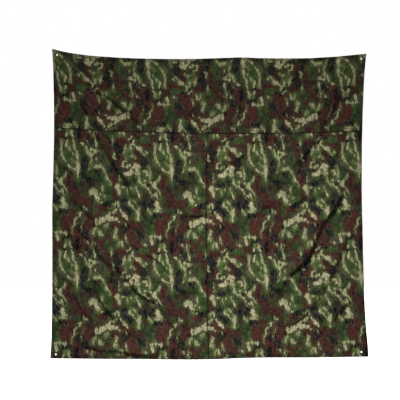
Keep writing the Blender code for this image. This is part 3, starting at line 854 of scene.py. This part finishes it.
def print_colour(tree, shade_tone):
    """The camouflage print, from the brown ground up to the pale strokes, darkened as painted shade by a
    shade_tone below 1.
    """
    plain, tall, taller = print_ring(tree), print_ring(tree, 0.75, 1.5), print_ring(tree, 0.6, 2.2)
    licks, _ = ring_noise(tree, taller, 44, 4, 0.0, 0.60)
    winding, wind_hues = ring_noise(tree, taller, 34, 3, 5.0, 0.55)
    middling, flecks = ring_noise(tree, tall, 42, 6, 3.0, 0.74)
    _, veins = ring_noise(tree, taller, 30, 2, 13.0, 0.5)
    coarse, hues = ring_noise(tree, plain, 22, 5, 7.0, 0.70)
    fine, fine_hues = ring_noise(tree, tall, 105, 3, 11.0, 0.70)

    pale = maths(tree, "ADD", painted(tree, "pale"), spread(tree, licks, 5.2, -2.62))
    near_pale = stepped(tree, painted(tree, "pale"), -2.2, -0.2)
    green = maths(tree, "MULTIPLY_ADD", near_pale, 2.3, painted(tree, "green"))
    warm = stepped(tree, hues[0], 0.42, 0.56)
    light_share = share(tree, stepped(tree, fine_hues[0], 0.43, 0.54), near_pale)
    outline = share(tree, stepped(tree, pale, -0.75, -0.25), stepped(tree, veins[2], 0.42, 0.56))

    browns = layered(tree, studio(RED_BROWN), [
        (warm, studio(EARTH_BROWN)),
        (stepped(tree, fine, 0.46, 0.60), studio(DARK_BROWN)),
    ])
    greens = layered(tree, studio(MID_GREEN), [
        (stepped(tree, hues[1], 0.40, 0.58), studio(DEEP_GREEN)),
        (light_share, studio(LIGHT_GREEN)),
    ])
    darks = blended(tree, stepped(tree, flecks[2], 0.44, 0.58), studio(SLATE), studio(BLACK_GREEN))
    pales = blended(tree, warm, studio(PALE_GREEN), studio(PALE_TAN))
    pales = blended(tree, stepped(tree, pale, -0.05, 0.55), studio(DULL_PALE), pales)
    pales = layered(tree, pales, [
        (share(tree, stepped(tree, fine, 0.49, 0.60), 0.75), studio(DULL_PALE)),
        (strands(tree, veins[1], 0.035, 0.6), studio(LIGHT_GREEN)),
    ])
    colour = layered(tree, studio(OLIVE_BROWN), [
        (stepped(tree, coarse, 0.42, 0.58), studio(GREY_OLIVE)),
        (ragged_mask(tree, painted(tree, "brown"), middling, 7.0, 0.35, 0.5), browns),
        (ragged_mask(tree, green, flecks[1], 6.0, 0.25, -0.2), greens),
        (ragged_mask(tree, painted(tree, "dark"), flecks[2], 7.5, 0.4), darks),
        (strands(tree, wind_hues[0], 0.026, 0.6), studio(BLACK_GREEN)),
        (share(tree, strands(tree, winding, 0.016, near_pale), 0.8), studio(DULL_PALE)),
        (share(tree, outline, 0.6), studio(BLACK_GREEN)),
        (stepped(tree, pale, -0.12, 0.04), pales),
    ])
    return toned(tree, colour, spread(tree, fine_hues[1], 1.8 * shade_tone, 0.1 * shade_tone))


def weave_height(tree):
    """The height of a plain weave: slubby threads both ways."""
    place = node(tree, "UVMap", uv_map="print").outputs[0]
    heights = []
    for stretch in (WEAVE, (WEAVE[1], WEAVE[0], 1)):
        threads = node(tree, "VectorMath", {0: place, 1: stretch}, operation="MULTIPLY").outputs[0]
        heights.append(cloud(tree, 1.0, 2.0, Vector=threads))
    return maths(tree, "ADD", *heights)


def finish_cloth(tree, shader, colour, roughness, bump, shine):
    """Gives cloth its colour, its weave and a patchy roughness."""
    patchy = cloud(tree, 9.0, 3.0)
    feed(tree, shader, {
        "Base Color": colour,
        "Roughness": spread(tree, patchy, 0.16, roughness - 0.08),
        "Normal": bumps(tree, bump, 0.0003, weave_height(tree)),
        "Specular IOR Level": shine,
    })


def make_printed_cloth(name, shade_tone=1.0, has_seam_shade=True):
    made, tree, shader = start_material(name)
    colour = print_colour(tree, shade_tone)
    if has_seam_shade:
        # painted shade along the seams, rim, stitch line and hem darkens the print
        colour = toned(tree, colour, painted(tree, "painted_seam_shade"))
    finish_cloth(tree, shader, colour, roughness=0.72, bump=0.35, shine=0.02)
    return made


def make_coated_cloth():
    """The back of the cloth: an olive coating that the print shows through faintly."""
    made, tree, shader = start_material("coated_cloth")
    shade = spread(tree, stepped(tree, painted(tree, "pale"), -0.6, 0.6), 0.30, 0.90)
    shade = spread(tree, stepped(tree, painted(tree, "dark"), -0.8, 0.8), -0.24, shade)
    shade = share(tree, shade, spread(tree, cloud(tree, 6.0, 4.0), 0.16, 0.92))
    base = node(tree, "RGB")
    base.outputs[0].default_value = studio(COATING)
    colour = toned(tree, base.outputs[0], shade)
    finish_cloth(tree, shader, colour, roughness=0.48, bump=0.18, shine=0.25)
    return made


def make_tape_material():
    """Heat-sealed film, slightly wavy and shinier than the cloth."""
    made, tree, shader = start_material("seam_tape_film")
    cloudy = cloud(tree, 40.0, 4.0)
    cover = stepped(tree, cloudy, 0.35, 0.65)
    feed(tree, shader, {
        "Base Color": blended(tree, cover, studio(TAPE_COLOUR), shaded(TAPE_COLOUR, 1.14)),
        "Roughness": spread(tree, cloudy, 0.2, 0.28),
        "Normal": bumps(tree, 0.2, 0.0005, cloud(tree, 260.0, 2.0)),
    })
    return made


def make_thread_material():
    made, tree, shader = start_material("olive_sewing_thread")
    twist = cloud(tree, 2600.0, 2.0)
    cover = stepped(tree, twist, 0.35, 0.65)
    feed(tree, shader, {
        "Base Color": blended(tree, cover, shaded(THREAD_COLOUR, 0.8), shaded(THREAD_COLOUR, 1.15)),
        "Normal": bumps(tree, 0.4, 0.0001, twist),
        "Roughness": 0.6,
        "Specular IOR Level": 0.3,
    })
    return made


def make_nickel():
    """Tarnished nickel: duller and a little warmer in patches, with fine scratches."""
    made, tree, shader = start_material("worn_nickel")
    patchy = cloud(tree, 420.0, 5.0)
    scratched = cloud(tree, 1900.0, 2.0, Distortion=1.5)
    feed(tree, shader, {
        "Base Color": blended(tree, stepped(tree, patchy, 0.45, 0.7), NICKEL, TARNISH),
        "Roughness": spread(tree, patchy, 0.3, 0.14),
        "Normal": bumps(tree, 0.15, 0.0001, scratched),
        "Metallic": 1.0,
    })
    return made


def make_floor_material():
    """A white studio floor that glows, so that it stays white under every shadow."""
    made, tree, shader = start_material("pale_floor")
    feed(tree, shader, {
        "Base Color": blended(tree, cloud(tree, 0.6, 3.0), *FLOOR_TONES),
        "Roughness": 0.9,
        "Emission Color": (1, 1, 1, 1),
        "Emission Strength": 1.0,
    })
    return made


# ---- meshes ----

def attach(piece, node_name):
    """Lets a piece ride on the tarp's body and stand for a node of the model, which is hidden."""
    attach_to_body(piece, "root")
    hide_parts(node_name)


def add_mesh(name, points, faces, materials):
    mesh = bpy.data.meshes.new(name)
    mesh.from_pydata(points, [], faces)
    for material in materials:
        mesh.materials.append(material)
    mesh.shade_smooth()
    piece = bpy.data.objects.new(name, mesh)
    bpy.context.scene.collection.objects.link(piece)
    return piece


def shell_faces(columns, rows):
    """Triangles of a closed shell: the printed side, the back, and the walls around its rim.

    Point (i, j) of the printed side is number i * rows + j, and the back's follow in the same order.
    Both sides are split along the same diagonals, so that the shell stays evenly thick where it bends.
    """
    count = columns * rows
    numbers = np.arange(count).reshape(columns, rows)
    a, b, c, d = numbers[:-1, :-1], numbers[:-1, 1:], numbers[1:, 1:], numbers[1:, :-1]
    front = np.stack([a, b, c, a, c, d], axis=-1).reshape(-1, 3)
    rim = np.concatenate([numbers[:, 0], numbers[-1, 1:], numbers[-2::-1, -1], numbers[0, -2:0:-1]])
    following = np.roll(rim, -1)
    walls = np.stack([rim, following, following + count, rim, following + count, rim + count], axis=-1)
    return front, front[:, ::-1] + count, walls.reshape(-1, 3)


def cloth_shell(name, middle, thickness, materials):
    """A closed thin sheet around a grid of middle points. Its back alone has the last material."""
    columns, rows = middle.shape[:2]
    back = unit(np.cross(np.gradient(middle, axis=0), np.gradient(middle, axis=1)))
    half = back * thickness / 2
    points = np.concatenate([middle - half, middle + half]).reshape(-1, 3)
    front, behind, walls = shell_faces(columns, rows)
    piece = add_mesh(name, points, np.concatenate([front, behind, walls]), materials)
    material_numbers = np.repeat([0, len(materials) - 1, 0], [len(front), len(behind), len(walls)])
    piece.data.polygons.foreach_set("material_index", material_numbers.astype(np.int32))
    piece.data.set_sharp_from_angle(angle=radians(70))
    return piece


def panel_lines(low, high, size):
    """The lines of a panel one way, as arrays: the edge counted from, inwards as 1 or -1, turn and run.

    The turn goes from 1 on the face through the hem's fold to -1 on the turned strip.
    """
    lines = []
    low_runs = HEM_RUNS if low == 0 else SEAM_RUNS
    high_runs = HEM_RUNS if high == size else SEAM_RUNS
    if low == 0:
        lines += [(low, 1, TURNED, run) for run in reversed(HEM_RUNS)]
        lines += [(low, 1, turn, 0) for turn in FOLD_LINES]
    lines += [(low, 1, FACE, run) for run in low_runs]
    start, end = low_runs[-1], high - low - high_runs[-1]
    steps = round((end - start) / FINE_STEP)
    lines += [(low, 1, FACE, start + (end - start) * k / steps) for k in range(1, steps)]
    lines += [(high, -1, FACE, run) for run in reversed(high_runs)]
    if high == size:
        lines += [(high, -1, turn, 0) for turn in reversed(FOLD_LINES)]
        lines += [(high, -1, TURNED, run) for run in HEM_RUNS]
    return np.array(lines, float).T


def fold_place(lines, stack, below):
    """Where a panel's lines lie: the place, and the layers behind the face cloth.

    below is how many layers back a line lies on the face, stack how many layers its fold goes round.
    """
    edge, inward, turn, run = lines
    angle = pi * (1 - turn) / 2
    in_fold = (stack - (stack - 2 * below) * np.sin(angle)) * PITCH / 2
    place = edge + inward * np.where(np.abs(turn) == 1, run, in_fold)
    level = (1 - np.cos(angle)) / 2
    return place, below + level * (stack - 2 * below)


def print_run(lines):
    """Where a panel's lines lie on the unfolded cloth."""
    edge, inward, turn, run = lines
    return edge + inward * np.where(np.abs(turn) == 1, run * turn, turn * PITCH)


def make_panel(name, columns, rows, is_upper, materials):
    """A panel of one sheet of cloth, its outer edges turned back, the ends over the sides at corners."""
    columns, rows = columns[:, :, None], rows[:, None, :]
    u, side_layers = fold_place(columns, np.ones_like(columns[0]), np.zeros_like(columns[0]))
    under = hem_cover(to_side(u))
    v, layers = fold_place(rows, 1 + 2 * under, side_layers)
    u, v, layers = np.broadcast_arrays(u, v, layers)
    middle, _ = behind_sheet(u, v, layers * PITCH)
    piece = cloth_shell(name, middle, CLOTH, materials)
    a, b = print_place(*np.broadcast_arrays(print_run(columns), print_run(rows)), is_upper)
    paint_print(piece.data, np.tile(a.ravel(), 2), np.tile(b.ravel(), 2))
    # painted shade along the seams and hems
    paint_seam_shade(piece.data, u, v)
    return piece


def face_places(lines, low, high):
    """The places of a panel's lines on its face, from low to high."""
    edge, inward, turn, run = lines
    places = (edge + inward * run)[turn == FACE]
    return places[(places > low - SAME_PLACE / 10) & (places < high + SAME_PLACE / 10)]


def make_strip(name, columns, rows, depth_at, thickness, materials):
    """A flat sheet behind the face cloth that follows its folds, and the places of its points."""
    u, v = np.broadcast_arrays(columns[:, None], rows[None, :])
    middle, _ = behind_sheet(u, v, depth_at(u, v))
    piece = cloth_shell(name, middle, thickness, materials)
    return piece, np.tile(u.ravel(), 2), np.tile(v.ravel(), 2)


def corner_span(corner, low, high):
    """The stretches from low to high, counted from a corner: left, right, top and bottom."""
    span = []
    for is_low, size in ((corner.endswith("left"), CLOTH_WIDTH), (corner.startswith("top"), CLOTH_HEIGHT)):
        span += (low, high) if is_low else (size - high, size - low)
    return span


def patch_depth(u, v):
    return (layers_behind(u, v) + 1) * PITCH


def tape_depth(u, v):
    return CLOTH / 2 + TAPE_AWAY + TAPE / 2 + 0 * u


def back_depth(u, v):
    """How far behind the middle of the face cloth the back of everything sewn to it lies."""
    cloth = (layers_behind(u, v) + patch_cover(u, v)) * PITCH + CLOTH / 2
    taped = np.minimum(np.abs(v - CROSS_SEAM), np.abs(past_centre(u, v))) < TAPE_WIDTH / 2
    return np.where(taped, tape_depth(u, v) + TAPE / 2, cloth)


def on_facets(u, v, depth):
    """Points behind the face cloth, as behind_sheet gives them but on the flat triangles of its mesh."""
    columns = face_places(ALL_COLUMNS, 0, CLOTH_WIDTH)
    rows = np.concatenate([face_places(lines, 0, CLOTH_HEIGHT) for lines in (UPPER_ROWS, LOWER_ROWS)])
    (i, across), (j, down) = stretch_of(columns, u), stretch_of(rows, v)
    across, down = across[:, None], down[:, None]
    first, out = behind_sheet(columns[i], rows[j], depth)
    last, _ = behind_sheet(columns[i + 1], rows[j + 1], depth)
    below, _ = behind_sheet(columns[i], rows[j + 1], depth)
    beside, _ = behind_sheet(columns[i + 1], rows[j], depth)
    in_lower = first + down * (below - first) + across * (last - below)
    in_upper = first + across * (beside - first) + down * (last - beside)
    return np.where(down > across, in_lower, in_upper), out


def stitch_shape():
    """One stitch, its ends in the cloth: points along, across and out of the cloth, and faces."""
    points = []
    for along, size, out in STITCH_RINGS:
        radius = THREAD_R * size
        for angle in np.arange(STITCH_SIDES) * 2 * pi / STITCH_SIDES:
            points.append((along * STITCH, radius * cos(angle), THREAD_R * out + radius * sin(angle)))
    points += [(end * STITCH / 2, 0, -STITCH_DIP * THREAD_R) for end in (-1, 1)]
    last_ring = (len(STITCH_RINGS) - 1) * STITCH_SIDES
    faces = []
    for low in range(0, last_ring, STITCH_SIDES):
        high = low + STITCH_SIDES
        for k, following in zip(STITCH_ROUND, STITCH_ROUND[1:]):
            faces.append((low + k, high + k, high + following))
            faces.append((low + k, high + following, low + following))
    ends = last_ring + STITCH_SIDES
    faces += [(ends, *side) for side in zip(STITCH_ROUND, STITCH_ROUND[1:])]
    closing = [last_ring + k for k in STITCH_ROUND]
    faces += [(ends + 1, following, k) for k, following in zip(closing, closing[1:])]
    return np.array(points), np.array(faces)


def make_sewing(name, rows, material):
    """Lock-stitching along straight rows (u, v, u, v): stitches on the face, and between them behind."""
    template, faces = stitch_shape()
    points, all_faces, count = [], [], 0
    for from_u, from_v, to_u, to_v in rows:
        length = np.hypot(to_u - from_u, to_v - from_v)
        way_u, way_v = (to_u - from_u) / length, (to_v - from_v) / length
        for is_back in (False, True):
            at = (np.arange(int(length / STITCH_PITCH)) + (1.0 if is_back else 0.5)) * STITCH_PITCH
            at = at[at < length - STITCH / 2]
            u, v = from_u + way_u * at, from_v + way_v * at
            depth = back_depth(u, v) if is_back else np.full(u.shape, -CLOTH / 2)
            centre, back = on_facets(u, v, depth)
            step = STITCH / 4
            ahead, _ = on_facets(u + way_u * step, v + way_v * step, depth)
            behind, _ = on_facets(u - way_u * step, v - way_v * step, depth)
            along = unit(ahead - behind)
            out = back if is_back else -back
            axes = np.stack([along, unit(np.cross(out, along)), out], axis=1)
            points.append((centre[:, None] + template @ axes).reshape(-1, 3))
            starts = count + np.arange(len(centre)) * len(template)
            all_faces.append((faces[None] + starts[:, None, None]).reshape(-1, 3))
            count += len(points[-1])
    return add_mesh(name, np.concatenate(points), np.concatenate(all_faces), [material])


def turned_ring(name, profile, centre, material):
    """A closed ring turned about the Y axis from a closed profile of (radius, depth) points."""
    angles = np.arange(TURNED_SIDES) * 2 * pi / TURNED_SIDES
    radius, depth = np.array(profile).T
    x = radius[None] * np.cos(angles)[:, None]
    z = radius[None] * np.sin(angles)[:, None]
    points = np.stack([x, np.broadcast_to(depth, x.shape), z], axis=-1).reshape(-1, 3)
    count = len(profile)
    faces = []
    for k in range(TURNED_SIDES):
        here, following = k * count, (k + 1) % TURNED_SIDES * count
        for p in range(count):
            q = (p + 1) % count
            faces.append((here + p, here + q, following + q, following + p))
    piece = add_mesh(name, points + np.array(centre), faces, [material])
    shape = bmesh.new()
    shape.from_mesh(piece.data)
    bmesh.ops.recalc_face_normals(shape, faces=shape.faces)
    shape.to_mesh(piece.data)
    shape.free()
    piece.data.set_sharp_from_angle(angle=radians(40))
    return piece


def rounded(corner_radius, depth_radius, centre, start, end, steps=6):
    """Points along part of an ellipse in a profile, from one angle to another in degrees."""
    angles = np.radians(np.linspace(start, end, steps + 1))
    return [(centre[0] + corner_radius * cos(a), centre[1] + depth_radius * sin(a)) for a in angles]


def place_of(node_name):
    """The middle of a node of the model, and how far back its front and its back lie."""
    low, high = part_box(node_name)
    return (low + high) / 2, low.y, high.y


def make_eyelet(corner, material):
    """A flanged barrel pushed through from the front, its end rolled outwards over the washer."""
    middle, front, back = place_of(f"eyelet_{corner}")
    flange_start = EYELET_HOLE_R + 2 * EYELET_EDGE
    curl = LIP * 1.6
    profile = [
        *rounded(EYELET_EDGE, FLANGE, (EYELET_HOLE_R + EYELET_EDGE, front + FLANGE), 180, 270),
        *rounded(FLANGE_R - flange_start, FLANGE_DROP, (flange_start, front + FLANGE_DROP), 270, 360, 9),
        (FLANGE_R - BREAK, front + FLANGE),
        (BARREL_R, front + FLANGE),
        (BARREL_R, back - 2 * LIP),
        *rounded(LIP, LIP, (LIP_R - LIP, back - LIP), -90, 90),
        *rounded(curl, curl, (EYELET_HOLE_R + curl, back - curl), 90, 180),
    ]
    piece = turned_ring(f"eyelet_ring_{corner}", profile, (middle.x, 0, middle.z), material)
    attach(piece, f"eyelet_{corner}")


def make_washer(corner, material):
    middle, front, back = place_of(f"eyelet_washer_{corner}")
    half = (back - front) / 2
    profile = [
        (WASHER_HOLE_R, front + BREAK),
        (WASHER_HOLE_R + BREAK, front),
        *rounded(half, half, (WASHER_R - half, front + half), -90, 90),
        *rounded(half / 2, half / 2, (WASHER_HOLE_R + half / 2, back - half / 2), 90, 180),
    ]
    piece = turned_ring(f"washer_ring_{corner}", profile, (middle.x, 0, middle.z), material)
    attach(piece, f"eyelet_washer_{corner}")


def make_punch(middle):
    """A round bar through the middle of an eyelet, to cut the cloth with."""
    shape = bmesh.new()
    ends = {"radius1": CLOTH_HOLE_R, "radius2": CLOTH_HOLE_R, "depth": 4 * FLANGE_R}
    bmesh.ops.create_cone(shape, cap_ends=True, segments=TURNED_SIDES // 2, **ends)
    mesh = bpy.data.meshes.new("punch")
    shape.to_mesh(mesh)
    shape.free()
    punch = bpy.data.objects.new("punch", mesh)
    bpy.context.scene.collection.objects.link(punch)
    punch.location = (middle.x, 0, middle.z)
    punch.rotation_euler = (pi / 2, 0, 0)
    return punch


def punch_holes(piece, corners):
    """Opens a piece of cloth for the barrels of its eyelets."""
    for corner in corners:
        middle, _, _ = place_of(f"eyelet_{corner}")
        punch = make_punch(middle)
        cut = piece.modifiers.new("punch", "BOOLEAN")
        cut.object = punch
        with bpy.context.temp_override(object=piece, active_object=piece, selected_objects=[piece]):
            bpy.ops.object.modifier_apply(modifier=cut.name)
        bpy.data.objects.remove(punch, do_unlink=True)


# ---- the tarp ----

LEFT_COLUMNS = panel_lines(0, CENTRE_SEAM - SEAM_GAP / 2, CLOTH_WIDTH)
RIGHT_COLUMNS = panel_lines(CENTRE_SEAM + SEAM_GAP / 2, CLOTH_WIDTH, CLOTH_WIDTH)
ALL_COLUMNS = np.concatenate([LEFT_COLUMNS, RIGHT_COLUMNS], axis=1)
UPPER_ROWS = panel_lines(0, CROSS_SEAM - SEAM_GAP / 2, CLOTH_HEIGHT)
LOWER_ROWS = panel_lines(CROSS_SEAM + SEAM_GAP / 2, CLOTH_HEIGHT, CLOTH_HEIGHT)


def make_panels():
    printed, coated = make_printed_cloth("printed_cloth"), make_coated_cloth()
    # a darker copy of the printed cloth, as painted shade on the upper panel
    darker = make_printed_cloth("printed_cloth_painted_shade", UPPER_SHADE_TONE)
    upper_flat = (CLOTH_WIDTH + 2 * HEM, CROSS_SEAM + HEM)
    lower_height = CLOTH_HEIGHT - CROSS_SEAM + HEM
    left_flat = (CENTRE_SEAM + HEM, lower_height)
    right_flat = (CLOTH_WIDTH - CENTRE_SEAM + HEM, lower_height)
    panels = [
        ("upper_panel", darker, ALL_COLUMNS, UPPER_ROWS, upper_flat, CORNERS[:2]),
        ("lower_left_panel", printed, LEFT_COLUMNS, LOWER_ROWS, left_flat, CORNERS[2:3]),
        ("lower_right_panel", printed, RIGHT_COLUMNS, LOWER_ROWS, right_flat, CORNERS[3:]),
    ]
    for name, face, columns, rows, flat, corners in panels:
        panel = make_panel(f"{name}_cloth", columns, rows, name == "upper_panel", [face, coated])
        attach(panel, name)
        punch_holes(panel, corners)


def make_patches():
    """The corner patches, behind the hems."""
    # the patches get no painted seam shade
    cloth = make_printed_cloth("printed_patch_cloth", has_seam_shade=False)
    shift_a, shift_b = PATCH_PRINT_SHIFT
    for corner in CORNERS:
        left, right, top, bottom = corner_span(corner, PATCH_INSET, PATCH)
        columns, rows = np.linspace(left, right, PATCH_LINES), np.linspace(top, bottom, PATCH_LINES)
        patch, u, v = make_strip(f"patch_{corner}", columns, rows, patch_depth, CLOTH, [cloth])
        paint_print(patch.data, *print_place(v + shift_a, u + shift_b, is_upper=False))
        attach(patch, f"corner_patch_{corner}")
        punch_holes(patch, [corner])


def tape_places(low, high, *panels):
    """The places of the panels' lines from low to high, so that a tape lies flat against them."""
    places = np.concatenate([[low], *(face_places(lines, low, high) for lines in panels), [high]])
    return places[np.diff(places, prepend=-1) > SAME_PLACE]


def make_tapes(material):
    half, inside = TAPE_WIDTH / 2, HEM + SEAM_GAP
    below = CROSS_SEAM + half
    bottom_end = CLOTH_HEIGHT - inside
    seams = {
        "cross_seam_tape": (inside, CLOTH_WIDTH - inside, CROSS_SEAM - half, below),
        "centre_seam_tape": (CENTRE_SEAM - half, CENTRE_SEAM + half, below + TAPE_GAP, bottom_end),
    }
    for name, (left, right, top, bottom) in seams.items():
        columns = tape_places(left, right, LEFT_COLUMNS, RIGHT_COLUMNS)
        rows = tape_places(top, bottom, UPPER_ROWS, LOWER_ROWS)
        tape, _, _ = make_strip(f"{name}_film", columns, rows, tape_depth, TAPE, [material])
        attach(tape, name)


def make_all_sewing(material):
    """The rows along hems and seams, and those that hold the corner patches."""
    inside = HEM + SEAM_GAP
    low_hem, right_hem = CLOTH_HEIGHT - HEM_STITCH_AT, CLOTH_WIDTH - HEM_STITCH_AT
    above, below = CROSS_SEAM - TWIN_STITCH_AT, CROSS_SEAM + TWIN_STITCH_AT
    left_of, right_of = CENTRE_SEAM - TWIN_STITCH_AT, CENTRE_SEAM + TWIN_STITCH_AT
    start = below + TWIN_STITCH_AT
    rows = {
        "hem_stitching_top": [(HEM_STITCH_AT, HEM_STITCH_AT, right_hem, HEM_STITCH_AT)],
        "hem_stitching_bottom": [(HEM_STITCH_AT, low_hem, right_hem, low_hem)],
        "hem_stitching_left": [(HEM_STITCH_AT, HEM, HEM_STITCH_AT, CLOTH_HEIGHT - HEM)],
        "hem_stitching_right": [(right_hem, HEM, right_hem, CLOTH_HEIGHT - HEM)],
        "cross_seam_stitching_upper": [(inside, above, CLOTH_WIDTH - inside, above)],
        "cross_seam_stitching_lower": [(inside, below, CLOTH_WIDTH - inside, below)],
        "centre_seam_stitching_left": [(left_of, start, left_of, CLOTH_HEIGHT - inside)],
        "centre_seam_stitching_right": [(right_of, start, right_of, CLOTH_HEIGHT - inside)],
    }
    for corner in CORNERS:
        left, right, top, bottom = corner_span(corner, HEM, PATCH_STITCH_AT)
        inner_u = right if corner.endswith("left") else left
        inner_v = bottom if corner.startswith("top") else top
        across, down = (left, inner_v, right, inner_v), (inner_u, top, inner_u, bottom)
        rows[f"corner_stitching_{corner}"] = [across, down]
    for name, lines in rows.items():
        attach(make_sewing(f"{name}_thread", lines, material), name)


# ---- floor, light and camera ----

def make_floor():
    level, half = CAD_BOX[0].z - FLOOR_DROP, FLOOR_WIDTH / 2
    points = [(-half, -half, level), (half, -half, level), (half, half, level), (-half, half, level)]
    floor = add_mesh("floor", points, [(0, 1, 2, 3)], [make_floor_material()])
    floor.visible_diffuse = False


def add_light(name, kind, place, power, target=VIEW_CENTRE, **settings):
    """A light that shines from its place towards a target, or towards the middle of the sheet."""
    lamp = bpy.data.lights.new(name, kind)
    lamp.energy = power
    for setting, value in settings.items():
        setattr(lamp, setting, value)
    light = bpy.data.objects.new(name, lamp)
    light.location = place
    light.rotation_euler = (Vector(target) - light.location).to_track_quat("-Z", "Y").to_euler()
    bpy.context.scene.collection.objects.link(light)


def make_light():
    """A high, soft key, a glow aimed low, a weak fill, and two lights behind, in a white room.

    The room and the floor light nothing, so that the folds stay dark.
    """
    world = bpy.data.worlds.new("studio")
    world.use_nodes = True
    world.node_tree.nodes["Background"].inputs["Color"].default_value = (1, 1, 1, 1)
    bpy.context.scene.world = world
    world.cycles_visibility.diffuse = False
    add_light("key", "SUN", (-0.75, -3.2, 2.0), KEY_POWER, angle=radians(14))
    glow = {"spot_size": radians(GLOW_SPREAD), "spot_blend": 1.0, "shadow_soft_size": 0.9}
    add_light("front_glow", "SPOT", (0.1, -7.0, 5.2), GLOW_POWER, (0.1, 0.0, -1.8), **glow)
    add_light("front_fill", "AREA", (0.4, -3.0, -1.5), FILL_POWER, size=2.0)
    add_light("back_key", "SUN", (1.4, 2.6, 1.9), BACK_KEY_POWER, angle=radians(12))
    add_light("back_fill", "AREA", (-0.6, 6.0, -0.4), BACK_FILL_POWER, size=5.0)
    bpy.context.scene.view_settings.view_transform = "Standard"


def make_camera():
    distance = VIEW_WIDTH / 2 / (SENSOR / 2 / LENS)
    seen = bpy.data.cameras.new("camera")
    seen.lens = LENS
    seen.sensor_width = SENSOR
    camera = bpy.data.objects.new("camera", seen)
    camera.location = Vector(VIEW_CENTRE) - Vector((0, distance, 0))
    camera.rotation_euler = (radians(90), 0, 0)
    bpy.context.scene.collection.objects.link(camera)
    bpy.context.scene.camera = camera


def main():
    make_camera()
    make_light()
    make_floor()
    make_panels()
    make_patches()
    make_tapes(make_tape_material())
    make_all_sewing(make_thread_material())
    nickel = make_nickel()
    for corner in CORNERS:
        make_eyelet(corner, nickel)
        make_washer(corner, nickel)


main()
